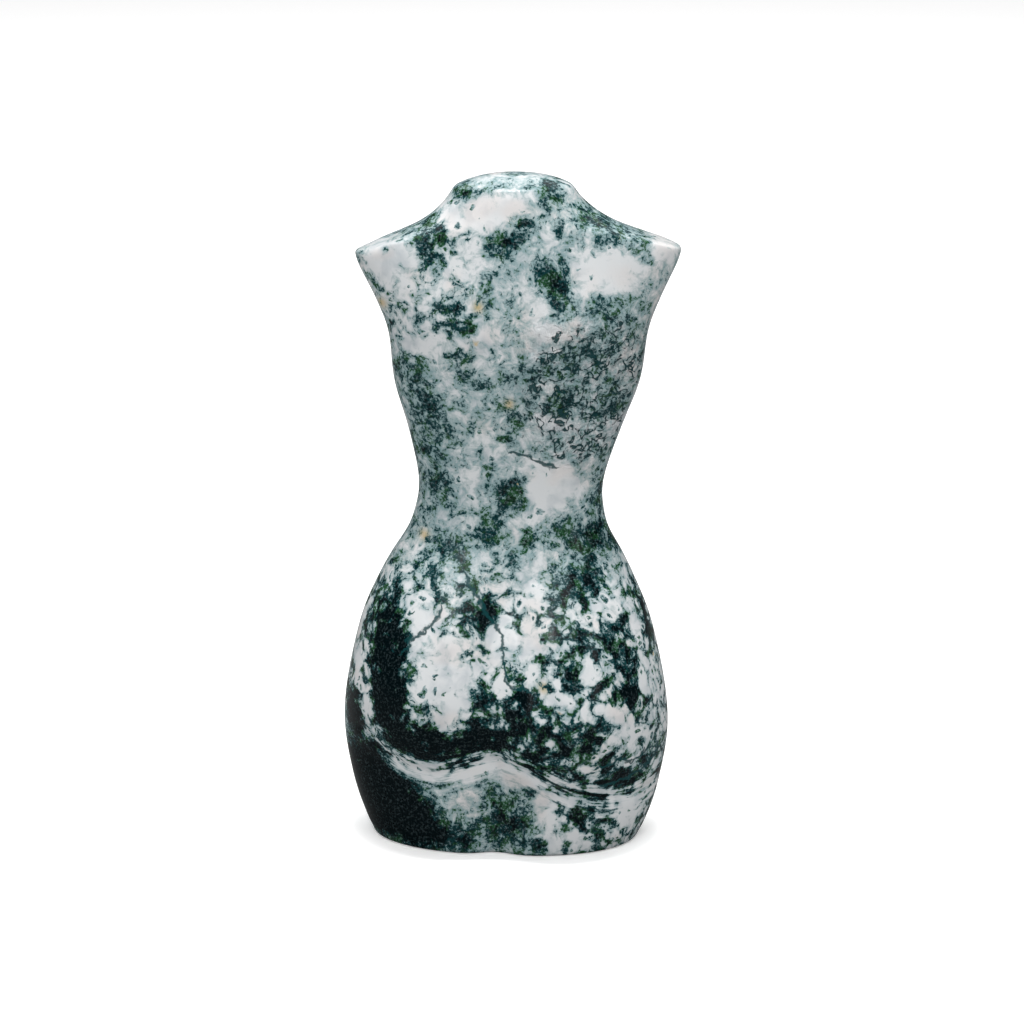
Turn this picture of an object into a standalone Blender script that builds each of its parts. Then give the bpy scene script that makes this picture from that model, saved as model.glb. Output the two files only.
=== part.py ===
"""Female torso carved from one piece of moss agate, without head, arms or plinth.

The figure faces -Y, its back is +Y and its own left side is +X. Metres, +Z up.
The origin is the middle of the flat underside that it stands on.
"""

import math
from collections import namedtuple

import bmesh
import bpy
import numpy as np

# Driving sizes of the whole figure
HEIGHT = 0.100
NECK_WIDTH = 0.0174
SHOULDER_WIDTH = 0.0478
UNDERARM_WIDTH = 0.0380
WAIST_WIDTH = 0.0272
HIP_WIDTH = 0.0488
BASE_WIDTH = 0.0404

# How far the back and the front stand from the middle plane
NECK_BACK, NECK_FRONT = 0.0055, 0.0068
SHOULDER_BACK, SHOULDER_FRONT = 0.0072, 0.0056
CHEST_BACK, CHEST_FRONT = 0.0098, 0.0088
WAIST_BACK, WAIST_FRONT = 0.0072, 0.0098
HIP_BACK, HIP_FRONT = 0.0138, 0.0124
BASE_BACK, BASE_FRONT = 0.0136, 0.0118

# How much higher a cross-section runs at the middle than at the sides
SHOULDER_ARCH = 0.0038
CHEST_ARCH = 0.0008

# Where the landmarks of the figure lie, as shares of its height
HIP_LEVEL = 0.175
WAIST_LEVEL = 0.535
UNDERARM_LEVEL = 0.765
SHOULDER_LEVEL = 0.890
NECK_LEVEL = 0.982

# The carved masses, each as a place, a reach and a height above the plain body
BUTTOCK_OFFSET, BUTTOCK_REACH, BUTTOCK_SWELL = 0.0112, 0.0150, 0.0048
BUTTOCK_LEVEL, BUTTOCK_UP, BUTTOCK_DOWN = 0.225, 0.0230, 0.0120
BUTTOCK_DROP = 0.0016
BREAST_OFFSET, BREAST_REACH, BREAST_SWELL = 0.0092, 0.0114, 0.0070
BREAST_LEVEL, BREAST_UP, BREAST_DOWN = 0.700, 0.0175, 0.0130
BELLY_LEVEL, BELLY_REACH, BELLY_RISE, BELLY_SWELL = 0.370, 0.0150, 0.0150, 0.0014
BLADE_OFFSET, BLADE_REACH, BLADE_SWELL, BLADE_LEVEL = 0.0105, 0.0090, 0.0007, 0.800

# The carved furrows, each as a depth and a half width
CLEFT_DEPTH, CLEFT_HALF_WIDTH = 0.0014, 0.0018
CLEFT_FLARE = 1.6
THIGH_GAP_DEPTH, THIGH_GAP_HALF_WIDTH = 0.0015, 0.0030
FOLD_BLEND = 0.0062
SPINE_DEPTH, SPINE_HALF_WIDTH = 0.0006, 0.0026
GROIN_DEPTH, GROIN_HALF_WIDTH = 0.0009, 0.0026
GROIN_LEVEL, GROIN_SLOPE = 0.120, 0.72

# The stance: the shoulders lean and tilt to one side over the hips, and the thighs turn a little
SHOULDER_LEAN = -0.0018
NECK_RETURN = 0.0007
SHOULDER_TILT = math.radians(0.6)
HIP_TURN = math.radians(-7.0)

EDGE_RADIUS = 0.0007
NECK_RISE_POWER = 2.6
SEGMENTS = 72
MIDDLE_CROWDING = 0.38

STONE_COLOUR = (0.56, 0.60, 0.60, 1.0)
STONE_ROUGHNESS = 0.2

Level = namedtuple("Level", "height half_width back front squareness arch rings_above")


def between(low, high, share):
    """The value that lies this share of the way from low to high."""
    return low + (high - low) * share


def level_between(low, high, share, width, depth, rings):
    """A cross-section between two landmarks, with its own shares of their widths and depths."""
    return Level(
        between(low.height, high.height, share),
        between(low.half_width, high.half_width, width),
        between(low.back, high.back, depth),
        between(low.front, high.front, depth),
        between(low.squareness, high.squareness, share),
        between(low.arch, high.arch, depth),
        rings,
    )


def body_levels():
    """The plain body's cross-sections from the underside to the rim of the neck."""
    base = Level(0.0, BASE_WIDTH / 2, BASE_BACK, BASE_FRONT, 2.3, 0.0, 5)
    hip = Level(HIP_LEVEL * HEIGHT, HIP_WIDTH / 2, HIP_BACK, HIP_FRONT, 2.25, 0.0, 6)
    waist = Level(WAIST_LEVEL * HEIGHT, WAIST_WIDTH / 2, WAIST_BACK, WAIST_FRONT, 2.1, 0.0, 3)
    underarm = Level(
        UNDERARM_LEVEL * HEIGHT, UNDERARM_WIDTH / 2, CHEST_BACK, CHEST_FRONT, 2.35, CHEST_ARCH, 3
    )
    shoulder = Level(
        SHOULDER_LEVEL * HEIGHT, SHOULDER_WIDTH / 2, SHOULDER_BACK, SHOULDER_FRONT, 2.4,
        SHOULDER_ARCH, 1
    )
    neck = Level(NECK_LEVEL * HEIGHT, NECK_WIDTH / 2, NECK_BACK, NECK_FRONT, 2.1, 0.0, 0)
    return (
        base,
        level_between(base, hip, 0.45, width=0.66, depth=0.40, rings=5),
        hip,
        level_between(hip, waist, 0.41, width=0.225, depth=0.32, rings=4),
        level_between(hip, waist, 0.67, width=0.585, depth=0.70, rings=4),
        level_between(hip, waist, 0.86, width=0.93, depth=0.93, rings=3),
        waist,
        level_between(waist, underarm, 0.34, width=0.35, depth=0.38, rings=4),
        level_between(waist, underarm, 0.74, width=0.88, depth=0.85, rings=3),
        underarm,
        level_between(underarm, shoulder, 0.45, width=0.42, depth=0.30, rings=3),
        level_between(underarm, shoulder, 0.87, width=0.93, depth=0.80, rings=2),
        shoulder,
        level_between(shoulder, neck, 0.07, width=0.09, depth=0.05, rings=1),
        level_between(shoulder, neck, 0.17, width=0.28, depth=0.15, rings=2),
        level_between(shoulder, neck, 0.31, width=0.51, depth=0.30, rings=2),
        level_between(shoulder, neck, 0.55, width=0.77, depth=0.50, rings=2),
        level_between(shoulder, neck, 0.80, width=0.92, depth=0.75, rings=2),
        neck,
    )


def smooth_curve(stops, values, at):
    """A curve through the values at the stops that never swings past them."""
    stops, values = np.asarray(stops, float), np.asarray(values, float)
    gaps = np.diff(stops)
    rises = np.diff(values) / gaps
    slopes = np.zeros(len(values))
    turning = rises[:-1] * rises[1:] <= 0
    left, right = gaps[1:] * 2 + gaps[:-1], gaps[1:] + gaps[:-1] * 2
    with np.errstate(divide="ignore", invalid="ignore"):
        inner = (left + right) / (left / rises[:-1] + right / rises[1:])
    slopes[1:-1] = np.where(turning, 0, inner)
    slopes[0], slopes[-1] = rises[0], rises[-1]
    span = np.clip(np.searchsorted(stops, at, side="right") - 1, 0, len(gaps) - 1)
    t = (at - stops[span]) / gaps[span]
    return (
        (1 + 2 * t) * (1 - t) ** 2 * values[span]
        + t * (1 - t) ** 2 * gaps[span] * slopes[span]
        + t * t * (3 - 2 * t) * values[span + 1]
        + t * t * (t - 1) * gaps[span] * slopes[span + 1]
    )


def ring_table():
    """Every ring of points from the underside up: a level's values, without its count of rings."""
    levels = body_levels()
    stops = np.cumsum([0] + [level.rings_above for level in levels[:-1]])
    at = np.arange(stops[-1] + 1, dtype=float)
    rings = [smooth_curve(stops, [level[i] for level in levels], at) for i in range(6)]
    return np.array(rings).T


def with_base_edge(rings):
    """The rings with the edge of the underside rounded over."""
    rows = []
    steps = (0.0, 0.30, 0.70)
    for turn in steps:
        angle = turn * math.pi / 2
        row = rings[0].copy()
        row[0] = EDGE_RADIUS * (1 - math.cos(angle))
        row[1:4] -= EDGE_RADIUS * (1 - math.sin(angle))
        rows.append(row)
    first = rings[0].copy()
    first[0] = EDGE_RADIUS
    return np.vstack([rows, first, rings[1:]])


def with_neck_dome(rings):
    """The rings with the low dome that closes the neck."""
    rim = rings[-1]
    rows = []
    for share in (0.92, 0.80, 0.62, 0.40, 0.18):
        row = rim.copy()
        row[0] = between(rim[0], HEIGHT, 1 - share**NECK_RISE_POWER)
        row[1:4] = rim[1:4] * share
        rows.append(row)
    return np.vstack([rings, rows])


def swell(across, up, reach, rise, fall, power):
    """A rounded mass, 1 at its middle and 0 at its outline, which may reach further up than down."""
    height = np.where(up > 0, up / rise, up / fall)
    return np.clip(1 - (across / reach) ** 2 - height**2, 0, None) ** power


def furrow(distance, half_width):
    """A soft-edged furrow, 1 along its line."""
    return np.exp(-((distance / half_width) ** 2))


def ramp(value, start, end):
    """0 before start, 1 after end, and smooth between, also where end is the lower."""
    share = np.clip((value - start) / (end - start), 0, 1)
    return share * share * (3 - 2 * share)


def buttock(x, z, side):
    """The mass of one buttock. The figure's right one, at -X, hangs a little lower."""
    middle = BUTTOCK_LEVEL * HEIGHT + BUTTOCK_DROP * side
    return swell(x - side * BUTTOCK_OFFSET, z - middle, BUTTOCK_REACH, BUTTOCK_UP, BUTTOCK_DOWN, 1.1)


def back_relief(x, z):
    """How far the carving of the back stands behind the plain body."""
    relief = BUTTOCK_SWELL * (buttock(x, z, 1) + buttock(x, z, -1))
    for side in (1, -1):
        across, up = x - side * BLADE_OFFSET, z - BLADE_LEVEL * HEIGHT
        relief += BLADE_SWELL * swell(across, up, BLADE_REACH, BLADE_REACH, BLADE_REACH, 2)
    fold = BUTTOCK_LEVEL * HEIGHT - BUTTOCK_DOWN
    waist, underarm = WAIST_LEVEL * HEIGHT, UNDERARM_LEVEL * HEIGHT
    shoulder = SHOULDER_LEVEL * HEIGHT
    sacrum = between(HIP_LEVEL * HEIGHT, waist, 0.62)
    cleft = furrow(x, CLEFT_HALF_WIDTH * (1 + CLEFT_FLARE * ramp(z, fold, sacrum)))
    relief -= CLEFT_DEPTH * cleft * ramp(z, fold, fold + FOLD_BLEND) * ramp(z, sacrum, fold)
    gap_end = ramp(z, fold + FOLD_BLEND, fold - FOLD_BLEND / 2)
    relief -= THIGH_GAP_DEPTH * furrow(x, THIGH_GAP_HALF_WIDTH) * gap_end
    spine = ramp(z, waist * 0.75, waist) * ramp(z, shoulder, underarm)
    relief -= SPINE_DEPTH * furrow(x, SPINE_HALF_WIDTH) * spine
    return relief


def front_relief(x, z):
    """How far the carving of the front stands before the plain body."""
    relief = np.zeros_like(x)
    for side in (1, -1):
        across, up = x - side * BREAST_OFFSET, z - BREAST_LEVEL * HEIGHT
        relief += BREAST_SWELL * swell(across, up, BREAST_REACH, BREAST_UP, BREAST_DOWN, 1.7)
    relief += BELLY_SWELL * swell(x, z - BELLY_LEVEL * HEIGHT, BELLY_REACH, BELLY_RISE, BELLY_RISE, 1.5)
    line = GROIN_LEVEL * HEIGHT + GROIN_SLOPE * np.abs(x)
    groin_end = ramp(np.abs(x), HIP_WIDTH * 0.44, HIP_WIDTH * 0.25)
    relief -= GROIN_DEPTH * furrow(z - line, GROIN_HALF_WIDTH) * groin_end
    crotch = GROIN_LEVEL * HEIGHT
    relief -= THIGH_GAP_DEPTH * furrow(x, THIGH_GAP_HALF_WIDTH) * ramp(z, crotch * 1.25, crotch * 0.6)
    return relief


def carve(turn, ring):
    """Where the point of a ring at each angle lies: the plain section, its relief and the stance."""
    height, half_width, back, front, squareness, arch = ring
    side, depth = np.cos(turn), np.sin(turn)
    bulge = (np.abs(side) ** squareness + np.abs(depth) ** squareness) ** (-1 / squareness)
    x = half_width * side * bulge
    y = np.where(depth > 0, back, front) * depth * bulge
    z = height + arch * (1 - (side * bulge) ** 2)
    y += back_relief(x, z) * ramp(depth, 0.0, 0.55)
    y -= front_relief(x, z) * ramp(-depth, 0.0, 0.55)
    angle = HIP_TURN * ramp(z, WAIST_LEVEL * HEIGHT, 0)
    lean = SHOULDER_LEAN * ramp(z, WAIST_LEVEL * HEIGHT * 0.66, UNDERARM_LEVEL * HEIGHT)
    lean += NECK_RETURN * ramp(z, SHOULDER_LEVEL * HEIGHT, NECK_LEVEL * HEIGHT)
    turned_x = x * np.cos(angle) - y * np.sin(angle)
    turned_y = x * np.sin(angle) + y * np.cos(angle)
    top = ramp(z, UNDERARM_LEVEL * HEIGHT, SHOULDER_LEVEL * HEIGHT)
    z = z - math.tan(SHOULDER_TILT) * x * top
    return turned_x + lean, turned_y, z


def round_blank(ring_count, height):
    """A plain round blank with one ring of points for each carved ring, and flat ends."""
    blank = bmesh.new()
    bmesh.ops.create_cone(blank, cap_ends=True, segments=SEGMENTS, radius1=1, radius2=1, depth=height)
    uprights = [e for e in blank.edges if e.verts[0].co.z * e.verts[1].co.z < 0]
    bmesh.ops.subdivide_edges(blank, edges=uprights, cuts=ring_count - 2)
    return blank


def carve_torso():
    """The torso as a mesh object, carved out of the round blank ring by ring."""
    rings = with_neck_dome(with_base_edge(ring_table()))
    blank_height = 1.0
    blank = round_blank(len(rings), blank_height)
    for vert in blank.verts:
        share_up = vert.co.z / blank_height + 0.5
        ring = rings[round(share_up * (len(rings) - 1))]
        turn = math.atan2(vert.co.y, vert.co.x)
        turn += MIDDLE_CROWDING * math.sin(2 * turn) / 2
        x, y, z = carve(np.array([turn]), ring)
        vert.co = (x[0], y[0], z[0])
    mesh = bpy.data.meshes.new("torso")
    blank.to_mesh(mesh)
    blank.free()
    mesh.shade_smooth()
    mesh.set_sharp_from_angle(angle=math.radians(50))
    return bpy.data.objects.new("torso", mesh)


def polished_stone():
    """The stone's overall colour and polish."""
    stone = bpy.data.materials.new("moss agate")
    stone.use_nodes = True
    shader = stone.node_tree.nodes["Principled BSDF"]
    shader.inputs["Base Color"].default_value = STONE_COLOUR
    shader.inputs["Roughness"].default_value = STONE_ROUGHNESS
    shader.inputs["Metallic"].default_value = 0.0
    return stone


def main():
    for old in list(bpy.data.objects):
        bpy.data.objects.remove(old)
    torso = carve_torso()
    torso.data.materials.append(polished_stone())
    carving = bpy.data.collections.new("female torso")
    bpy.context.scene.collection.children.link(carving)
    carving.objects.link(torso)


main()
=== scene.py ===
"""Female torso carved from moss agate: its fine surface, the look of the stone, and a plain studio."""

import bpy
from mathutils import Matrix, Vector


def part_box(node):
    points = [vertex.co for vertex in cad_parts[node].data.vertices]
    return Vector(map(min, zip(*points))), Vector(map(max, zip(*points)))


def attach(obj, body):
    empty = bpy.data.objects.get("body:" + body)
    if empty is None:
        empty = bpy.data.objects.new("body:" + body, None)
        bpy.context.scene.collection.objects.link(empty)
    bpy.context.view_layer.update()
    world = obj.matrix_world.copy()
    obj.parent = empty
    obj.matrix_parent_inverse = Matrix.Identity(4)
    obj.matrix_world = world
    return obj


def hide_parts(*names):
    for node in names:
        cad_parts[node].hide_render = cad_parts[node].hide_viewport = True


bl_info = {
    "name": "Moss agate torso",
    "version": (1, 0, 0),
    "blender": (4, 5, 0),
    "location": "3D View > Sidebar > Torso",
    "description": "Finishes the carved stone torso and sets up a plain studio round it",
    "category": "Object",
}

import math
from collections import namedtuple

import bpy
import numpy as np
from mathutils import Vector, noise

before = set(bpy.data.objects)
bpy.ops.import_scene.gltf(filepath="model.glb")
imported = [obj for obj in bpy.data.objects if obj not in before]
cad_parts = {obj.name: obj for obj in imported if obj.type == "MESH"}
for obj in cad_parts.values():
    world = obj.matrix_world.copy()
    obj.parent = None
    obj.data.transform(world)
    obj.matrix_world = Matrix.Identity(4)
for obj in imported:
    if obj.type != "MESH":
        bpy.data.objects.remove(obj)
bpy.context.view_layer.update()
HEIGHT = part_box("torso")[1].z
MM = 0.001
TINY = 1e-6
PATTERN = "moss agate"

# The larger clouds in the stone, in the plane of the back: place and reach across and up in
# millimetres, lean in degrees, and how much moss a cloud holds; below 0 it is clear white stone.
Cloud = namedtuple("Cloud", "x z across up lean dark")
NECK_AND_SHOULDERS = (
    (10.5, 91.5, 3.0, 2.6, 0, 0.8), (10.0, 87.0, 1.6, 2.2, 0, 0.6), (6.5, 98.0, 1.3, 1.5, 0, 0.6),
    (0.5, 90.5, 3.0, 2.0, 0, 0.8), (-2.0, 93.0, 3.0, 2.2, 0, 0.9), (-6.5, 97.0, 1.8, 2.6, 0, 0.9),
    (-9.0, 92.5, 2.2, 2.0, 0, 0.6), (-6.5, 87.0, 2.6, 2.4, 0, 0.7), (-16.0, 92.0, 4.5, 2.0, -15, 0.6),
    (-12.5, 94.5, 3.0, 1.5, -30, 0.5), (2.0, 95.0, 3.5, 2.2, 0, -0.9), (7.5, 94.0, 2.2, 2.0, 0, -0.7),
    (5.0, 88.0, 1.8, 3.5, 0, -0.6), (16.5, 88.0, 3.5, 3.0, 0, -0.7), (-15.0, 87.0, 4.4, 3.0, 0, -0.8),
    (-23.5, 90.0, 2.5, 2.0, 0, -0.8), (-11.0, 92.5, 1.5, 1.5, 0, -0.4),
)
SHOULDER_BLADES = (
    (-8.0, 83.0, 1.9, 3.2, 0, 0.9), (6.0, 79.0, 1.8, 1.3, 0, 1.1), (-14.0, 81.5, 4.5, 1.8, 0, 0.6),
    (-16.0, 78.5, 3.0, 2.2, 0, 0.5), (3.0, 83.5, 1.8, 1.6, 0, 0.5), (12.5, 79.5, 1.0, 1.5, 0, 0.5),
    (12.5, 83.5, 1.2, 1.0, 0, 0.4), (6.5, 74.5, 2.2, 1.0, 0, 0.5), (-1.5, 72.5, 3.0, 2.4, 0, 0.4),
    (-8.0, 73.5, 3.5, 2.5, 0, 0.4), (-15.0, 73.0, 4.5, 4.0, 0, 0.5), (14.0, 73.0, 2.2, 2.0, 0, 0.5),
    (7.0, 72.0, 1.5, 1.5, 0, 0.4), (-3.5, 82.0, 1.8, 3.0, 0, -0.4), (-5.5, 78.5, 1.8, 1.4, 0, -0.9),
    (2.0, 78.5, 2.0, 1.6, 0, -0.5), (14.5, 76.0, 2.5, 1.2, 0, -0.5), (10.5, 76.0, 2.0, 2.0, 0, -0.6),
    (3.5, 74.5, 1.0, 1.3, 0, -0.4),
)
WAIST = (
    (-9.0, 68.0, 5.0, 3.0, 0, 0.6), (-16.5, 68.5, 3.0, 2.5, 0, 0.6), (12.0, 67.5, 3.2, 4.0, 0, 0.5),
    (0.5, 67.5, 3.5, 2.0, 0, 0.4), (11.0, 60.5, 2.6, 5.0, 0, 0.5), (7.0, 63.0, 2.5, 2.0, 0, 0.4),
    (-0.5, 63.0, 2.0, 2.0, 0, 0.3), (-5.5, 62.0, 2.0, 1.5, 0, 0.4), (5.0, 58.5, 2.0, 1.5, 0, 0.4),
    (2.0, 57.5, 1.2, 1.4, 0, 0.5), (-1.0, 53.5, 2.0, 2.4, 0, 0.9), (10.5, 54.0, 2.5, 3.0, 0, 0.5),
    (8.0, 51.0, 1.5, 1.0, 0, 0.5), (-9.5, 60.0, 4.0, 1.6, 0, 0.1), (-13.5, 54.0, 1.6, 4.0, 0, 0.6),
    (-10.0, 51.0, 2.2, 1.8, 0, 0.3), (2.0, 48.0, 3.0, 1.8, 0, 0.7), (8.0, 46.0, 2.5, 1.5, 0, 0.5),
    (-3.5, 47.0, 1.5, 1.3, 0, 0.5), (-10.5, 47.0, 3.3, 2.2, 0, 0.6), (-14.5, 46.5, 2.5, 3.0, 0, 0.6),
    (-8.5, 64.5, 3.5, 1.2, 0, -0.3), (3.5, 62.0, 1.5, 1.5, 0, -0.4), (-7.0, 57.0, 2.5, 2.0, 0, -0.6),
    (-7.5, 54.0, 4.2, 3.0, 0, -1.1), (4.0, 56.0, 1.8, 1.2, 0, -0.4), (5.0, 53.5, 2.0, 1.5, 0, -0.4),
    (-3.0, 50.0, 2.0, 1.0, 0, -0.6), (5.5, 49.0, 1.5, 1.0, 0, -0.4),
)
LEFT_BUTTOCK = (
    (17.5, 32.0, 2.4, 4.5, 0, 1.5), (17.0, 24.5, 2.4, 4.5, 0, 1.6), (13.0, 18.5, 4.2, 2.6, -20, 1.4),
    (6.5, 18.5, 4.0, 2.2, 0, 1.1), (1.0, 19.5, 3.0, 2.8, 0, 0.8), (-3.5, 22.5, 3.2, 3.0, 0, 0.9),
    (-2.0, 26.0, 1.6, 1.4, 0, 0.7), (12.0, 22.0, 2.0, 1.4, 0, 0.5), (3.0, 28.5, 1.0, 2.5, 0, 0.3),
    (2.5, 38.0, 1.0, 1.6, 0, 0.6), (1.0, 31.5, 2.4, 5.0, 0, -0.9), (6.5, 43.0, 1.5, 2.0, 0, 0.4),
    (13.0, 42.0, 3.5, 2.5, 0, 0.2), (17.0, 38.5, 2.5, 1.5, 0, 0.3), (22.5, 20.0, 1.5, 4.0, 0, 1.5),
    (12.0, 35.5, 2.0, 2.0, 0, -1.0), (9.0, 29.5, 4.0, 4.5, 0, -1.0), (9.5, 25.0, 3.2, 3.0, 0, -0.7),
    (7.5, 22.0, 2.5, 1.5, 0, -0.4), (4.0, 25.0, 1.2, 3.0, 0, 0.3), (21.5, 29.0, 1.3, 6.0, 0, -0.7),
    (20.5, 21.5, 0.7, 3.0, 0, -0.9),
)
RIGHT_BUTTOCK = (
    (-9.0, 41.0, 4.5, 3.5, 0, 0.5), (-13.5, 42.5, 2.5, 3.0, 0, 0.3), (-10.0, 36.0, 2.5, 1.2, 0, 0.1),
    (-8.0, 33.5, 1.5, 1.2, 0, 0.3), (-10.0, 31.5, 2.0, 1.2, 0, 0.3), (-14.5, 33.0, 1.5, 2.0, 0, 0.3),
    (-18.5, 29.0, 1.5, 2.5, 0, 0.5), (-18.0, 24.5, 1.6, 2.0, 0, 0.8), (-8.0, 29.0, 1.8, 1.0, 0, 0.3),
    (-8.5, 22.0, 1.5, 1.2, 0, 0.3), (-13.0, 25.0, 1.5, 1.5, 0, 0.4), (-11.5, 18.5, 2.5, 2.2, 0, 0.7),
    (-7.0, 18.0, 2.5, 2.0, 0, 0.6), (-16.0, 17.0, 1.2, 1.0, 0, 0.3), (-21.0, 32.0, 1.0, 6.0, 0, 0.4),
    (-3.5, 40.0, 2.5, 4.0, 0, -1.0), (-4.0, 33.0, 2.5, 2.5, 0, -0.7), (-4.0, 29.0, 2.5, 1.3, 0, -0.5),
    (-12.5, 28.5, 1.8, 1.8, 0, -0.7), (-15.5, 22.5, 1.8, 2.0, 0, -0.8), (-7.5, 25.5, 2.2, 1.4, 0, -0.7),
    (-17.5, 19.0, 3.0, 2.0, 0, -0.9), (-20.5, 27.0, 1.2, 3.5, 0, -0.8), (-16.0, 36.5, 1.5, 2.0, 0, -0.6),
)
THIGHS = (
    (20.5, 9.0, 4.2, 7.0, 0, 2.2), (16.0, 6.0, 4.0, 5.8, 0, 2.0), (12.0, 3.0, 3.2, 4.0, 0, 1.2),
    (7.5, 2.0, 2.5, 2.8, 0, 0.8), (2.0, 9.5, 1.5, 2.0, 0, 0.7), (0.0, 4.5, 3.2, 3.5, 0, 0.7),
    (-8.5, 6.0, 0.8, 2.0, 0, 0.6), (-12.0, 6.0, 2.2, 1.4, 0, 0.4), (-15.5, 5.5, 1.2, 2.0, 0, 0.3),
    (-17.5, 11.0, 2.5, 1.5, 0, 0.3), (-9.0, 1.5, 0.8, 1.5, 0, 0.4), (-4.0, 1.5, 1.5, 1.5, 0, 0.5),
    (5.5, 8.5, 1.5, 1.8, 0, -0.5), (-1.5, 12.0, 2.5, 1.1, 0, -0.8), (-5.5, 8.0, 1.2, 2.5, 15, -1.0),
    (-7.0, 3.0, 1.2, 2.5, 10, -1.0), (-11.5, 2.0, 1.8, 1.4, 0, -0.9), (-18.0, 5.0, 1.8, 2.0, 0, -0.7),
    (-21.5, 12.0, 1.5, 1.5, 0, -0.7),
)
CLOUDS = NECK_AND_SHOULDERS + SHOULDER_BLADES + WAIST + LEFT_BUTTOCK + RIGHT_BUTTOCK + THIGHS

# Lines in the plane of the back, across and up in millimetres: the fold under the buttocks, whose
# grain runs along it, and the thin dark veins.
FOLD = (
    (21.5, 18.0), (18.5, 15.5), (14.5, 13.0), (10.0, 12.5), (5.0, 14.0), (1.0, 15.0),
    (-3.0, 14.0), (-6.5, 11.5), (-10.0, 9.5), (-15.0, 8.5), (-19.0, 8.5), (-23.0, 9.5),
)
VEINS = (
    (
        (6.0, 42.5), (4.5, 39.5), (3.0, 37.0), (1.5, 35.5),
        (0.5, 32.5), (0.5, 29.0), (-0.5, 27.0), (-3.0, 26.5),
    ),
    ((-1.0, 60.0), (-4.0, 59.0), (-7.0, 58.0)),
    ((9.5, 38.0), (10.5, 36.0), (12.0, 34.5), (14.0, 33.0), (15.0, 31.5)),
    ((-13.5, 14.5), (-16.5, 15.5), (-18.5, 14.5), (-21.0, 16.0), (-23.0, 15.0)),
    ((-14.0, 11.0), (-17.5, 11.5), (-20.0, 12.5), (-22.0, 14.0)),
)

# Small ochre stains, across and up, and their reach, in millimetres.
STAINS = ((4.0, 82.0), (-0.5, 67.5), (18.0, 81.5), (12.0, 47.0), (-5.5, 27.0), (-11.5, 18.5))
STAIN_REACH = 0.7

# The patch that the polish did not reach, and the navel: middle and reach, across and up, in metres.
PATCH_PLACE, PATCH_REACH = (-0.0125, 0.069), (0.0105, 0.0110)
NAVEL_PLACE, NAVEL_REACH = (-0.0006, 0.0435), (0.0011, 0.00154)
NAVEL_DEPTH = 0.0007

# The polishing waves and the pits: size in metres and where their noise starts, and between which
# values of that noise a pit goes from nothing to its full depth.
WAVE_SIZE, WAVE_SEED = 0.009, 3.0
PIT_SIZE, PIT_SEED, PIT_FADE = 0.0011, 8.0, (0.0, 0.5)

# The skin: the width of the flat underside's rim, the part of the neck that is smoothed more and how
# often, the widest angle at which two facets join, and how often each facet is divided.
BASE_EDGE = 0.0006
SOFT_NECK_UP, SOFT_NECK_ACROSS, SOFT_NECK_TIMES = (0.086, 0.095), 0.021, 4
JOIN_ANGLE = math.radians(50)
SKIN_LEVELS = 2

# Where the surface starts to face backwards or forwards and where it fully does, by its normal.
FACES_BACK = (0.0, 0.5)
FACES_FRONT = (-0.3, -0.8)

# Bands along the fold: middle above the fold's line and width, in metres, and how strong they are.
# Along the fold and backwards the streaks' noise is stretched by these shares of the way.
CUT_BAND = (0, 0.0007)
DARK_BAND, DARK_BAND_SHARE = (0.0032, 0.0016), 0.6
PALE_BAND, PALE_BAND_SHARE, PALE_WEAKER = (-0.0006, 0.0012), 0.65, 0.5
GRAIN_BAND = (0.0002, 0.0030)
GRAIN_STRETCH, GRAIN_DEPTH = 0.14, 0.2

# Where a mark on the mesh, or the relief near the foot, is 0 and where it is 1: across, backwards,
# up, above the fold's line or away from a vein. In metres, but the last three in millimetres.
FOLD_ACROSS = (0.0200, 0.0170)
PALE_ACROSS = (-0.007, -0.013)
SAND_ACROSS = (-0.007, -0.003)
SAND_DOWN = (0.001, -0.002)
CRISP_DOWN = (0.047, 0.036)
CRISP_BACK = (-0.012, 0.0)
SHOULDER_ACROSS = (0.002, 0.007)
SHOULDER_UP = (0.071, 0.077)
VEIN_NEAR = (0.0012, 0.0006)
FOOT_UP = (0.0002, 0.0015)
BACK_DEPTH = (-4, 2)
WAIST_UP, SHOULDERS_UP = (48, 58), (72, 84)

# The furthest that a vein's distance is counted, in metres.
VEIN_FAR = 0.002

# How much moss the stone holds away from the clouds, how sharply a cloud ends, and how much less moss
# there is above each level.
BARE_MOSS = -0.05
CLOUD_EDGE = 0.8
LESS_UP = 0.10

# How strong the marks are.
SAND_SHARE = 0.9
SHOULDER_CRISP = 0.6
PATCH_MOSS = -0.25
PATCH_SHARE = 1.7
STAIN_SHARE = 0.7

# Each noise in the stone: features a metre, detail, roughness and distortion.
BANK_NOISE = (110, 2)
WARM_NOISE = (120, 2)
COOL_NOISE = (260, 3)
CLOUD_NOISE = (280, 5, 0.60)
STAIN_NOISE = (330, 2)
SAW_NOISE = (400, 3)
LEAF_NOISE = (520, 3)
BREAK_NOISE = (620, 2)
WOBBLE_NOISE = (700, 3)
TUFT_NOISE = (720, 4, 0.66)
CREASE_NOISE = (760, 1, 0.5, 0.6)
LUMP_NOISE = (800, 3, 0.6, 0.8)
POLISH_NOISE = (900, 2)
STREAK_NOISE = (900, 3, 0.62)
GRAIN_NOISE = (2300, 2, 0.6)
SALT_NOISE = (2900, 2, 0.6)
DRIFT_SCALE, DRIFT_DETAIL = 300, 3
CELL_SCALE = 560

# How far the pattern is pushed about, and a vein's line, in metres.
DRIFT = 0.0034
WOBBLE = 0.0022

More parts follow.
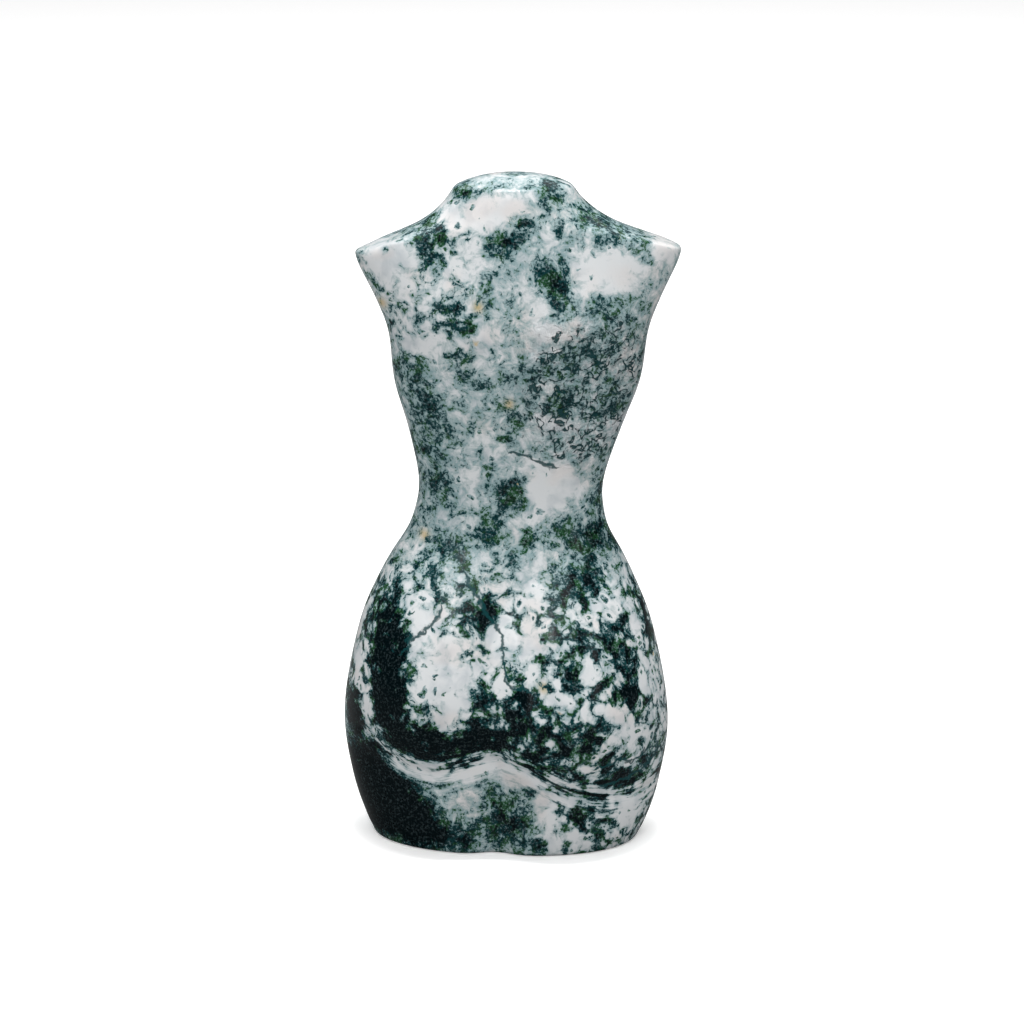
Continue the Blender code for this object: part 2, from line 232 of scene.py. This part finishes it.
# How much of each noise goes into the moss. A second number is added to the first where the stone is
# crisp, for the tufts along the fold, and for the dots where a dot is.
BANK_SHARE = 1.0
CLOUD_SHARE = (2.8, 0.4)
TUFT_SHARE = (3.2, -2.2)
STREAK_SHARE = 2.6
CELL_MIDDLE, CELL_SHARE = 0.42, 2.2
GRAIN_SHARE = (1.8, -0.3)
DOT_RAGGED = 1.1
DOT_MOSS = (-1.1, 1.35)
HAZE_CRISP = -0.15

# Where a mask is 0 and where it is 1, along the value that it is made from. A pair in place of a
# number is for soft stone and what is added where the stone is crisp.
MOSS_FADE = (0.00, (0.50, -0.20))
THICK_FADE = (0.25, (1.40, -0.25))
HAZE_FADE = (-0.85, 0.25)
COOL_FADE = (0.46, 0.70)
WARM_FADE = (0.50, 0.66)
STAIN_FADE = (0.76, 0.80)
LEAF_FADE = (0.48, 0.60)
SALT_FADE = (0.50, 0.68)
DOT_FADE = (0.34, 0.14)
DOT_CHOICE = (0.66, 0.72)
VEIN_FADE = (0.00034, 0.00012)
CREASE_FADE = (0.062, 0.025)
BREAK_FADE = (0.84, 0.90)
BREAK_IN_PATCH = 0.4

# The most that each colour covers. A second number is added where the moss is thick.
COOL_MOST = 0.7
WARM_MOST = 0.4
HAZE_MOST = 0.78
STAIN_MOST = 0.6
SALT_MOST = (0.62, -0.54)
VEIN_MOST = 0.90
# The creases' dark teal is painted shade in their grooves.
CREASE_SHADE_MOST = 0.95

# Relief that only shades, as shares of the grooves' depth, and the finish of the two surfaces.
LUMP_RELIEF = 3.0
GRAIN_RELIEF = 0.06
POLISHED_SHINE = 0.12
POLISH_SPREAD = 0.10
PATCH_DULLER = 0.25
SAWN_ROUGHNESS = 0.55
SAW_STRETCH = 14.0
SAW_STRENGTH, SAW_DEPTH = 0.35, 0.00008

# The stone's colours, and the marks on the mesh that its pattern takes, each also a socket's name.
COLOURS = ("White", "Lilac", "Rose", "Haze", "Teal", "Leaf", "Deep", "Salt", "Ochre")
MARKS = ("Density", "Crisp", "Fold", "Stain", "Pitted")

# Lamps, each facing the middle of the torso: name, place, size across and up in metres, and watts.
LAMPS = (
    ("left softbox", (0.45, 0.60, 0.35), (0.10, 0.50), 0.5),
    ("right softbox", (-0.55, 0.50, 0.35), (0.10, 0.50), 0.5),
    ("front softbox", (0.0, 0.75, 0.85), (0.80, 0.40), 3.1),
    ("window", (0.10, 0.75, 0.62), (0.07, 0.22), 1.1),
    ("overhead", (0.0, -0.30, 0.95), (1.20, 1.20), 9.0),
    ("top strip", (0.0, 0.06, 0.75), (0.18, 0.03), 2.6),
)

# What the camera looks at, and the floor and the room as the camera, the stone and its polish see them.
CAMERA_AIM = (-0.0009, 0, 0.0492)
FLOOR_SIZE = 8
FLOOR_ROUGHNESS = 0.9
FLOOR_GLOW = 0.30
FLOOR_TO_STONE = 0.55
FLOOR_IN_POLISH = 0.15
ROOM_IN_POLISH = 0.20


class TorsoStone(bpy.types.PropertyGroup):
    """Colours, polish and relief of the stone"""

    white: bpy.props.FloatVectorProperty(
        name="White", description="Clear white chalcedony", subtype="COLOR", default=(0.64, 0.66, 0.67)
    )
    lilac: bpy.props.FloatVectorProperty(
        name="Lilac grey", description="Cooler parts of the white", subtype="COLOR",
        default=(0.42, 0.47, 0.50),
    )
    rose: bpy.props.FloatVectorProperty(
        name="Rose", description="Warmer parts of the white", subtype="COLOR", default=(0.66, 0.59, 0.56)
    )
    haze: bpy.props.FloatVectorProperty(
        name="Haze", description="Blue-green haze round the moss", subtype="COLOR",
        default=(0.13, 0.262, 0.275),
    )
    teal: bpy.props.FloatVectorProperty(
        name="Teal moss", description="Most of the moss", subtype="COLOR", default=(0.006, 0.046, 0.050)
    )
    leaf: bpy.props.FloatVectorProperty(
        name="Leaf moss", description="The greener strands", subtype="COLOR", default=(0.020, 0.082, 0.032)
    )
    deep: bpy.props.FloatVectorProperty(
        name="Deep moss", description="The thick of the moss", subtype="COLOR",
        default=(0.0003, 0.0036, 0.0048),
    )
    salt: bpy.props.FloatVectorProperty(
        name="Salt", description="Pale grains in the moss", subtype="COLOR", default=(0.25, 0.35, 0.37)
    )
    ochre: bpy.props.FloatVectorProperty(
        name="Ochre", description="Small iron stains", subtype="COLOR", default=(0.52, 0.36, 0.11)
    )
    polish: bpy.props.FloatProperty(
        name="Polish", description="Roughness of the polished stone", min=0.02, max=1.0, default=0.16
    )
    ripple: bpy.props.FloatProperty(
        name="Ripple", description="Depth of the waves that polishing leaves", unit="LENGTH",
        default=0.00010,
    )
    pits: bpy.props.FloatProperty(
        name="Pits", description="Depth of the hollows in the unpolished patch", unit="LENGTH",
        default=0.00040,
    )
    fold: bpy.props.FloatProperty(
        name="Fold", description="Depth of the line cut under the buttocks", unit="LENGTH", default=0.00030
    )
    grooves: bpy.props.FloatProperty(
        name="Grooves", description="Depth of the grooves that only shade", unit="LENGTH", default=0.00035
    )


class TorsoStudio(bpy.types.PropertyGroup):
    """Camera and light"""

    distance: bpy.props.FloatProperty(
        name="Distance", description="From the camera to the torso", unit="LENGTH", default=0.6
    )
    elevation: bpy.props.FloatProperty(
        name="Elevation", description="Height of the view above level", subtype="ANGLE",
        default=math.radians(14.5),
    )
    lens: bpy.props.FloatProperty(name="Lens", description="Focal length in millimetres", default=142.4)
    floor: bpy.props.FloatVectorProperty(
        name="Floor", description="Colour of the floor", subtype="COLOR", default=(0.90, 0.90, 0.90)
    )
    sky: bpy.props.FloatProperty(name="Room light", description="Light from all round", default=0.26)


def fit(tree, kind, feeds=(), **settings):
    """A node of this kind with its settings, whose inputs take a value or another node's output."""
    made = tree.nodes.new(kind)
    for name, value in settings.items():
        setattr(made, name, value)
    for key, value in dict(feeds).items():
        if isinstance(value, bpy.types.NodeSocket):
            tree.links.new(value, made.inputs[key])
        else:
            made.inputs[key].default_value = value
    return made


def reckon(tree, operation, *values):
    """The output of a Math node."""
    return fit(tree, "ShaderNodeMath", dict(enumerate(values)), operation=operation).outputs[0]


def fade(tree, value, start, end):
    """A mask that goes smoothly from 0 at start to 1 at end."""
    feeds = {"Value": value, "From Min": start, "From Max": end}
    return fit(tree, "ShaderNodeMapRange", feeds, interpolation_type="SMOOTHSTEP").outputs[0]


def blend(tree, mask, first, second):
    """The first colour where the mask is 0, and the second where it is 1."""
    return fit(tree, "ShaderNodeMix", {0: mask, 6: first, 7: second}, data_type="RGBA").outputs[2]


def shifted(tree, mask, base, extra):
    """The base where the mask is 0, and the base with the extra added where it is 1."""
    return reckon(tree, "MULTIPLY_ADD", mask, extra, base)


def centred(tree, value, share, onto):
    """Adds a share of a value that lies round a half, so that it lightens as much as it darkens."""
    return reckon(tree, "MULTIPLY_ADD", reckon(tree, "SUBTRACT", value, 0.5), share, onto)


def mottle(tree, place, scale, detail=3.0, rough=0.5, twist=0.0):
    """The value of cloudy noise. Scale is in features a metre."""
    feeds = {"Vector": place, "Scale": scale, "Detail": detail, "Roughness": rough, "Distortion": twist}
    return fit(tree, "ShaderNodeTexNoise", feeds).outputs["Fac"]


def warp(tree, place):
    """The place, pushed about by noise, so that what is drawn there curls."""
    feeds = {"Vector": place, "Scale": DRIFT_SCALE, "Detail": DRIFT_DETAIL}
    about_half = {0: fit(tree, "ShaderNodeTexNoise", feeds).outputs["Color"], 1: (0.5, 0.5, 0.5)}
    push = fit(tree, "ShaderNodeVectorMath", about_half, operation="SUBTRACT").outputs[0]
    push = fit(tree, "ShaderNodeVectorMath", {0: push, "Scale": DRIFT}, operation="SCALE").outputs[0]
    return fit(tree, "ShaderNodeVectorMath", {0: place, 1: push}, operation="ADD").outputs[0]


def gather_moss(tree, given, warped):
    """How much moss there is: the density on the mesh, with banks, clouds, tufts, curls and dots."""
    crisp, fold = given["Crisp"], given["Fold"]
    banks = mottle(tree, given["Vector"], *BANK_NOISE)
    clouds = mottle(tree, warped, *CLOUD_NOISE)
    streaks = centred(tree, mottle(tree, given["Flow"], *STREAK_NOISE), STREAK_SHARE, 0.5)
    clouds = shifted(tree, fold, clouds, reckon(tree, "SUBTRACT", streaks, clouds))
    tufts = mottle(tree, warped, *TUFT_NOISE)
    density = centred(tree, banks, BANK_SHARE, given["Density"])
    density = centred(tree, clouds, shifted(tree, crisp, *CLOUD_SHARE), density)
    density = centred(tree, tufts, shifted(tree, fold, *TUFT_SHARE), density)
    cells = fit(tree, "ShaderNodeTexVoronoi", {"Vector": warped, "Scale": CELL_SCALE}).outputs
    curls = reckon(tree, "MULTIPLY", reckon(tree, "SUBTRACT", cells["Distance"], CELL_MIDDLE), crisp)
    density = reckon(tree, "MULTIPLY_ADD", curls, CELL_SHARE, density)
    dots = fade(tree, centred(tree, tufts, DOT_RAGGED, cells["Distance"]), *DOT_FADE)
    chance = fit(tree, "ShaderNodeSeparateColor", {0: cells["Color"]}).outputs[0]
    dots = reckon(tree, "MULTIPLY", dots, fade(tree, chance, *DOT_CHOICE))
    return reckon(tree, "MAXIMUM", shifted(tree, dots, *DOT_MOSS), density)


def clear_stone(tree, given, warped, haze):
    """White stone with cooler and warmer parts, haze round the moss, and ochre stains."""
    cool = fade(tree, mottle(tree, warped, *COOL_NOISE), *COOL_FADE)
    warm = fade(tree, mottle(tree, given["Vector"], *WARM_NOISE), *WARM_FADE)
    colour = blend(tree, reckon(tree, "MULTIPLY", cool, COOL_MOST), given["White"], given["Lilac"])
    colour = blend(tree, reckon(tree, "MULTIPLY", warm, WARM_MOST), colour, given["Rose"])
    colour = blend(tree, reckon(tree, "MULTIPLY", haze, HAZE_MOST), colour, given["Haze"])
    stain = fade(tree, mottle(tree, given["Vector"], *STAIN_NOISE), *STAIN_FADE)
    stain = reckon(tree, "MAXIMUM", reckon(tree, "MULTIPLY", stain, STAIN_MOST), given["Stain"])
    return blend(tree, stain, colour, given["Ochre"])


def moss_colour(tree, given, warped, thick):
    """Teal and leaf green, nearly black where the moss is thick, with pale grains."""
    leafy = fade(tree, mottle(tree, warped, *LEAF_NOISE), *LEAF_FADE)
    green = blend(tree, leafy, given["Teal"], given["Leaf"])
    green = blend(tree, thick, green, given["Deep"])
    salt = fade(tree, mottle(tree, given["Vector"], *SALT_NOISE), *SALT_FADE)
    salt = reckon(tree, "MULTIPLY", salt, shifted(tree, thick, *SALT_MOST))
    return blend(tree, salt, green, given["Salt"])


def vein_lines(tree, given):
    """A thin wandering line where the distance to a vein, which the mesh holds, is near 0."""
    vein = fit(tree, "ShaderNodeSeparateXYZ", {0: given["Vein"]}).outputs
    off = centred(tree, mottle(tree, given["Vector"], *WOBBLE_NOISE), WOBBLE, vein["X"])
    line = fade(tree, reckon(tree, "ABSOLUTE", off), *VEIN_FADE)
    return reckon(tree, "MULTIPLY", line, vein["Y"])


def crease_grooves_and_shade(tree, given):
    """Short curved grooves in the patch that the polish did not reach; the same lines carry the painted
    shade of the grooves.
    """
    level = reckon(tree, "SUBTRACT", mottle(tree, given["Vector"], *CREASE_NOISE), 0.5)
    lines = fade(tree, reckon(tree, "ABSOLUTE", level), *CREASE_FADE)
    broken = shifted(tree, given["Pitted"], mottle(tree, given["Vector"], *BREAK_NOISE), BREAK_IN_PATCH)
    return reckon(tree, "MULTIPLY", lines, fade(tree, broken, *BREAK_FADE))


def moss_agate_group():
    """The stone's pattern as a node group: moss where the mesh holds it, and clear stone between, with
    painted shade along the creases.
    """
    tree = bpy.data.node_groups.new(PATTERN, "ShaderNodeTree")
    sockets = tree.interface
    for name in ("Vector", "Flow", "Vein"):
        sockets.new_socket(name, in_out="INPUT", socket_type="NodeSocketVector")
    for name in MARKS:
        sockets.new_socket(name, in_out="INPUT", socket_type="NodeSocketFloat")
    for name in COLOURS:
        sockets.new_socket(name, in_out="INPUT", socket_type="NodeSocketColor")
    sockets.new_socket("Color", in_out="OUTPUT", socket_type="NodeSocketColor")
    sockets.new_socket("Relief", in_out="OUTPUT", socket_type="NodeSocketFloat")
    given = tree.nodes.new("NodeGroupInput").outputs
    place, crisp = given["Vector"], given["Crisp"]

    warped = warp(tree, place)
    density = gather_moss(tree, given, warped)
    haze = fade(tree, shifted(tree, crisp, density, HAZE_CRISP), *HAZE_FADE)
    grain = mottle(tree, place, *GRAIN_NOISE)
    density = centred(tree, grain, shifted(tree, crisp, *GRAIN_SHARE), density)
    moss = fade(tree, density, MOSS_FADE[0], shifted(tree, crisp, *MOSS_FADE[1]))
    thick = fade(tree, density, THICK_FADE[0], shifted(tree, crisp, *THICK_FADE[1]))
    clear = clear_stone(tree, given, warped, haze)
    colour = blend(tree, moss, clear, moss_colour(tree, given, warped, thick))
    veins = reckon(tree, "MULTIPLY", vein_lines(tree, given), VEIN_MOST)
    colour = blend(tree, veins, colour, given["Teal"])
    grooves_and_painted_shade = crease_grooves_and_shade(tree, given)
    # Painted shade: the crease lines are drawn in dark teal as the shade in their grooves, and are also
    # cut as grooves in the relief.
    colour = blend(tree, reckon(tree, "MULTIPLY", grooves_and_painted_shade, CREASE_SHADE_MOST), colour, given["Teal"])

    lumps = reckon(tree, "MULTIPLY", mottle(tree, place, *LUMP_NOISE), given["Pitted"])
    relief = reckon(tree, "SUBTRACT", reckon(tree, "MULTIPLY", grain, GRAIN_RELIEF), grooves_and_painted_shade)
    relief = reckon(tree, "MULTIPLY_ADD", lumps, LUMP_RELIEF, relief)
    taken = tree.nodes.new("NodeGroupOutput").inputs
    tree.links.new(colour, taken["Color"])
    tree.links.new(relief, taken["Relief"])


def mark_node(tree, name):
    """A node that reads a mark from the mesh."""
    return fit(tree, "ShaderNodeAttribute", attribute_name=name)


def stone_pattern(material, look):
    """The pattern group in a material, fed with its place, the mesh's marks and the stone's colours."""
    tree = material.node_tree
    place = fit(tree, "ShaderNodeTexCoord").outputs["Object"]
    feeds = {"Vector": place}
    for name in ("Flow", "Vein"):
        feeds[name] = mark_node(tree, name.lower()).outputs["Vector"]
    for name in MARKS:
        feeds[name] = mark_node(tree, "moss_" + name.lower()).outputs["Fac"]
    for name in COLOURS:
        feeds[name] = (*getattr(look, name.lower()), 1)
    pattern = fit(tree, "ShaderNodeGroup", feeds, node_tree=bpy.data.node_groups[PATTERN])
    return pattern, place


def polished_stone(look):
    """Polished moss agate, dull and pitted where the polish did not reach."""
    material = bpy.data.materials.new("polished moss agate")
    material.use_nodes = True
    tree = material.node_tree
    shader = tree.nodes["Principled BSDF"]
    shader.inputs["Specular IOR Level"].default_value = POLISHED_SHINE
    pattern, place = stone_pattern(material, look)
    tree.links.new(pattern.outputs["Color"], shader.inputs["Base Color"])
    spread = centred(tree, mottle(tree, place, *POLISH_NOISE), POLISH_SPREAD, look.polish)
    rough = shifted(tree, mark_node(tree, "moss_pitted").outputs["Fac"], spread, PATCH_DULLER)
    tree.links.new(rough, shader.inputs["Roughness"])
    heights = {"Height": pattern.outputs["Relief"], "Strength": 1.0, "Distance": look.grooves}
    tree.links.new(fit(tree, "ShaderNodeBump", heights).outputs[0], shader.inputs["Normal"])
    return material


def sawn_stone(look):
    """The flat underside: the same stone, sawn and ground but not polished."""
    material = bpy.data.materials.new("sawn moss agate")
    material.use_nodes = True
    tree = material.node_tree
    shader = tree.nodes["Principled BSDF"]
    pattern, place = stone_pattern(material, look)
    tree.links.new(pattern.outputs["Color"], shader.inputs["Base Color"])
    shader.inputs["Roughness"].default_value = SAWN_ROUGHNESS
    feeds = {"Vector": place, "Scale": (1.0, SAW_STRETCH, 1.0)}
    marks = mottle(tree, fit(tree, "ShaderNodeMapping", feeds).outputs[0], *SAW_NOISE)
    heights = {"Height": marks, "Strength": SAW_STRENGTH, "Distance": SAW_DEPTH}
    tree.links.new(fit(tree, "ShaderNodeBump", heights).outputs[0], shader.inputs["Normal"])
    return material


def ramp(value, start, end):
    """0 before start, 1 after end and smooth between."""
    share = np.clip((value - start) / (end - start), 0, 1)
    return share * share * (3 - 2 * share)


def points_of(mesh, field="vertices", name="co"):
    """The places, or the normals, of a mesh's points as an array."""
    values = np.empty(len(mesh.vertices) * 3)
    getattr(mesh, field).foreach_get(name, values)
    return values.reshape(-1, 3)


def waves(points, size, seed):
    """Smooth noise from about -1 to 1, one value a point."""
    shift = Vector((seed, seed * 2.3, -seed))
    return np.array([noise.noise(Vector(p) / size + shift) for p in points])


def select_faces(mesh, wanted):
    """Selects the faces for which wanted is true."""
    for face in mesh.polygons:
        face.select = wanted(face)


def density_of(points):
    """How much moss the stone holds at each point: the drawn clouds behind, and less higher up."""
    x, y, z = points.T / MM
    behind = ramp(y, *BACK_DEPTH)
    dark = BARE_MOSS - behind * (LESS_UP * ramp(z, *WAIST_UP) + LESS_UP * ramp(z, *SHOULDERS_UP))
    for cloud in map(Cloud._make, CLOUDS):
        lean = math.radians(cloud.lean)
        across, up = x - cloud.x, z - cloud.z
        along = across * math.sin(lean) + up * math.cos(lean)
        aside = across * math.cos(lean) - up * math.sin(lean)
        far = (aside / cloud.across) ** 2 + (along / cloud.up) ** 2
        dark += behind * cloud.dark * np.exp(-CLOUD_EDGE * far * far)
    return dark


def hump(value, middle, width):
    """1 at the middle, and down to about a third a width away on either side."""
    return np.exp(-(((value - middle) / width) ** 2))


def off_line(points, line):
    """How far each point is from a line in the plane of the back, positive above it, and how far along."""
    flat = points[:, [0, 2]]
    corners = np.array(line) * MM
    off = np.full(len(flat), np.inf)
    along = np.zeros(len(flat))
    passed = 0.0
    for start, end in zip(corners[:-1], corners[1:]):
        side = end - start
        length = np.hypot(*side)
        share = np.clip((flat - start) @ side / length**2, 0, 1)
        gap = flat - start - share[:, None] * side
        far = np.hypot(*gap.T)
        side_of = np.where(side[0] * gap[:, 1] - side[1] * gap[:, 0] < 0, 1.0, -1.0)
        nearer = far < np.abs(off)
        off[nearer] = (side_of * far)[nearer]
        along[nearer] = (passed + share * length)[nearer]
        passed += length
    return off, along


def reach_of(x, z, place, reach):
    """How far each point is from a place in the plane of the back, as a share of its reach."""
    return np.hypot((x - place[0]) / reach[0], (z - place[1]) / reach[1])


def stain_of(points):
    """How much ochre each point holds."""
    ochre = np.zeros(len(points))
    for x, z in STAINS:
        far = np.hypot(points[:, 0] / MM - x, points[:, 2] / MM - z) / STAIN_REACH
        ochre = np.maximum(ochre, np.exp(-far * far))
    return ochre


def vein_of(points):
    """How far each point is from the nearest vein, with a sign that changes across it."""
    nearest = np.full(len(points), VEIN_FAR)
    for line in VEINS:
        off, _ = off_line(points, line)
        nearer = np.abs(off) < np.abs(nearest)
        nearest[nearer] = off[nearer]
    return nearest


class TORSO_OT_carve(bpy.types.Operator):
    """Make the torso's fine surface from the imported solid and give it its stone"""

    bl_idname = "torso.carve"
    bl_label = "Carve the torso"

    def execute(self, context):
        look = context.scene.torso_stone
        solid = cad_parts["torso"]
        torso = bpy.data.objects.new("carved_torso", solid.data.copy())
        context.scene.collection.objects.link(torso)
        bpy.ops.object.select_all(action="DESELECT")
        context.view_layer.objects.active = torso
        torso.select_set(True)
        self.smooth(torso)
        self.relieve(torso, look)
        mesh = torso.data
        mesh.materials.clear()
        if PATTERN not in bpy.data.node_groups:
            moss_agate_group()
        mesh.materials.append(polished_stone(look))
        mesh.materials.append(sawn_stone(look))
        for face in mesh.polygons:
            face.material_index = int(face.center.z < TINY)
        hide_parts("torso")
        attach(torso, "root")
        return {"FINISHED"}

    def smooth(self, torso):
        """Turns the solid's facets into a fine smooth skin with a flat underside."""
        mesh = torso.data
        bpy.ops.object.mode_set(mode="EDIT")
        bpy.ops.mesh.select_all(action="SELECT")
        bpy.ops.mesh.remove_doubles(threshold=TINY)
        bpy.ops.mesh.customdata_custom_splitnormals_clear()
        bpy.ops.mesh.tris_convert_to_quads(face_threshold=JOIN_ANGLE, shape_threshold=JOIN_ANGLE)
        bpy.ops.mesh.select_mode(type="FACE")
        bpy.ops.object.mode_set(mode="OBJECT")
        select_faces(mesh, lambda f: f.center.z < TINY)
        bpy.ops.object.mode_set(mode="EDIT")
        bpy.ops.mesh.dissolve_faces()
        bpy.ops.mesh.inset(thickness=BASE_EDGE)
        bpy.ops.object.mode_set(mode="OBJECT")
        select_faces(mesh, lambda f: f.center.z < TINY)
        bpy.ops.object.mode_set(mode="EDIT")
        bpy.ops.mesh.region_to_loop()
        bpy.ops.transform.edge_crease(value=1.0)
        bpy.ops.object.mode_set(mode="OBJECT")
        low, high = SOFT_NECK_UP
        select_faces(mesh, lambda f: low < f.center.z < high and abs(f.center.x) < SOFT_NECK_ACROSS)
        bpy.ops.object.mode_set(mode="EDIT")
        bpy.ops.mesh.vertices_smooth(factor=0.5, repeat=SOFT_NECK_TIMES)
        bpy.ops.object.mode_set(mode="OBJECT")
        fine = torso.modifiers.new("fine skin", "SUBSURF")
        fine.levels = fine.render_levels = SKIN_LEVELS
        bpy.ops.object.modifier_apply(modifier=fine.name)
        bpy.ops.object.shade_smooth()

    def relieve(self, torso, look):
        """Cuts the fold, the navel, the polishing waves and the pits, and marks where the moss is."""
        mesh = torso.data
        points = points_of(mesh)
        normals = points_of(mesh, "vertex_normals", "vector")
        x, y, z = points.T
        behind = ramp(normals[:, 1], *FACES_BACK)
        cut = look.ripple * (1 + waves(points, WAVE_SIZE, WAVE_SEED)) / 2
        patch = reach_of(x, z, PATCH_PLACE, PATCH_REACH)
        pitted = behind * np.exp(-(patch**3))
        cut += look.pits * pitted * ramp(waves(points, PIT_SIZE, PIT_SEED), *PIT_FADE)
        navel = reach_of(x, z, NAVEL_PLACE, NAVEL_REACH)
        cut += NAVEL_DEPTH * np.exp(-(navel**2)) * ramp(normals[:, 1], *FACES_FRONT)
        above, along = off_line(points, FOLD)
        cut += look.fold * behind * hump(above, *CUT_BAND)
        cut *= ramp(z, *FOOT_UP)
        points -= normals * cut[:, None]
        mesh.vertices.foreach_set("co", points.ravel())
        self.draw_marks(mesh, points, behind, pitted, above, along)
        mesh.update()

    def draw_marks(self, mesh, points, behind, pitted, above, along):
        """Marks on the mesh where moss, crisp stone, the fold's grain, stains and veins are."""
        x, y, z = points.T
        in_fold = ramp(x, *FOLD_ACROSS)
        pale = hump(above, *PALE_BAND) * (1 - PALE_WEAKER * ramp(x, *PALE_ACROSS))
        banded = in_fold * (DARK_BAND_SHARE * hump(above, *DARK_BAND) - PALE_BAND_SHARE * pale)
        sandy = SAND_SHARE * ramp(above, *SAND_DOWN) * ramp(x, *SAND_ACROSS)
        below = ramp(z, *CRISP_DOWN) * ramp(y, *CRISP_BACK) * (1 - sandy)
        shoulder = behind * ramp(x, *SHOULDER_ACROSS) * ramp(z, *SHOULDER_UP)
        marks = {
            "moss_density": density_of(points) + behind * banded + PATCH_MOSS * pitted,
            "moss_crisp": np.maximum(below, SHOULDER_CRISP * shoulder),
            "moss_fold": behind * in_fold * hump(above, *GRAIN_BAND),
            "moss_stain": STAIN_SHARE * behind * stain_of(points),
            "moss_pitted": np.minimum(PATCH_SHARE * pitted, 1),
        }
        for name, values in marks.items():
            mesh.attributes.new(name, "FLOAT", "POINT").data.foreach_set("value", values)
        off = vein_of(points)
        near = behind * ramp(np.abs(off), *VEIN_NEAR)
        vectors = {
            "flow": np.stack([along * GRAIN_STRETCH, above, y * GRAIN_DEPTH], 1),
            "vein": np.stack([off, near, np.zeros(len(off))], 1),
        }
        for name, values in vectors.items():
            held = mesh.attributes.new(name, "FLOAT_VECTOR", "POINT")
            held.data.foreach_set("vector", values.ravel())


class TORSO_OT_studio(bpy.types.Operator):
    """Set up the floor, the lights and the camera"""

    bl_idname = "torso.studio"
    bl_label = "Set up the studio"

    def execute(self, context):
        studio = context.scene.torso_studio
        self.floor(context, studio)
        self.lights(context, studio)
        self.camera(context, studio)
        context.scene.view_settings.view_transform = "Standard"
        return {"FINISHED"}

    def floor(self, context, studio):
        """A plain pale floor, darker for the light that it throws on the stone and in the polish."""
        bpy.ops.object.select_all(action="DESELECT")
        bpy.ops.mesh.primitive_plane_add(size=FLOOR_SIZE)
        floor = context.active_object
        floor.name = "floor"
        pale = bpy.data.materials.new("pale floor")
        pale.use_nodes = True
        tree = pale.node_tree
        shader = tree.nodes["Principled BSDF"]
        shader.inputs["Roughness"].default_value = FLOOR_ROUGHNESS
        shader.inputs["Specular IOR Level"].default_value = 0.0
        shader.inputs["Emission Color"].default_value = (1, 1, 1, 1)
        path = fit(tree, "ShaderNodeLightPath").outputs
        to_stone = (*(FLOOR_TO_STONE * value for value in studio.floor), 1)
        in_polish = (*(FLOOR_IN_POLISH * value for value in studio.floor), 1)
        tone = blend(tree, path["Is Glossy Ray"], to_stone, in_polish)
        tone = blend(tree, path["Is Camera Ray"], tone, (*studio.floor, 1))
        tree.links.new(tone, shader.inputs["Base Color"])
        glow = reckon(tree, "MULTIPLY", path["Is Camera Ray"], FLOOR_GLOW)
        tree.links.new(glow, shader.inputs["Emission Strength"])
        floor.data.materials.append(pale)

    def lights(self, context, studio):
        """Soft light from all round, weaker where the polish mirrors it, and the lamps."""
        world = bpy.data.worlds.new("room")
        world.use_nodes = True
        tree = world.node_tree
        glossy = fit(tree, "ShaderNodeLightPath").outputs["Is Glossy Ray"]
        strength = shifted(tree, glossy, studio.sky, (ROOM_IN_POLISH - 1) * studio.sky)
        tree.nodes["Background"].inputs["Color"].default_value = (1, 1, 1, 1)
        tree.links.new(strength, tree.nodes["Background"].inputs["Strength"])
        context.scene.world = world
        for lamp in LAMPS:
            self.softbox(context, *lamp)

    def softbox(self, context, name, place, size, power):
        """A rectangular lamp that faces the middle of the torso."""
        lamp = bpy.data.lights.new(name, "AREA")
        lamp.shape = "RECTANGLE"
        lamp.size, lamp.size_y = size
        lamp.energy = power
        box = bpy.data.objects.new(name, lamp)
        context.scene.collection.objects.link(box)
        box.location = place
        aim = Vector((0, 0, HEIGHT / 2)) - Vector(place)
        box.rotation_euler = aim.to_track_quat("-Z", "Y").to_euler()

    def camera(self, context, studio):
        """A long lens a little above the level of the torso, looking at its back."""
        back = Vector((0, math.cos(studio.elevation), math.sin(studio.elevation)))
        camera = bpy.data.cameras.new("camera")
        camera.lens = studio.lens
        eye = bpy.data.objects.new("camera", camera)
        context.scene.collection.objects.link(eye)
        eye.location = Vector(CAMERA_AIM) + back * studio.distance
        eye.rotation_euler = (-back).to_track_quat("-Z", "Y").to_euler()
        context.scene.camera = eye


class TORSO_PT_panel(bpy.types.Panel):
    """The torso's settings and steps"""

    bl_label = "Torso"
    bl_space_type = "VIEW_3D"
    bl_region_type = "UI"
    bl_category = "Torso"

    def draw(self, context):
        for settings in (context.scene.torso_stone, context.scene.torso_studio):
            for name in settings.__annotations__:
                self.layout.prop(settings, name)
        self.layout.operator(TORSO_OT_carve.bl_idname)
        self.layout.operator(TORSO_OT_studio.bl_idname)


CLASSES = (TorsoStone, TorsoStudio, TORSO_OT_carve, TORSO_OT_studio, TORSO_PT_panel)


def register():
    for item in CLASSES:
        bpy.utils.register_class(item)
    bpy.types.Scene.torso_stone = bpy.props.PointerProperty(type=TorsoStone)
    bpy.types.Scene.torso_studio = bpy.props.PointerProperty(type=TorsoStudio)


def unregister():
    del bpy.types.Scene.torso_studio
    del bpy.types.Scene.torso_stone
    for item in reversed(CLASSES):
        bpy.utils.unregister_class(item)


def main():
    """Makes the torso and its studio."""
    register()
    bpy.ops.torso.carve()
    bpy.ops.torso.studio()


if __name__ == "__main__":
    main()
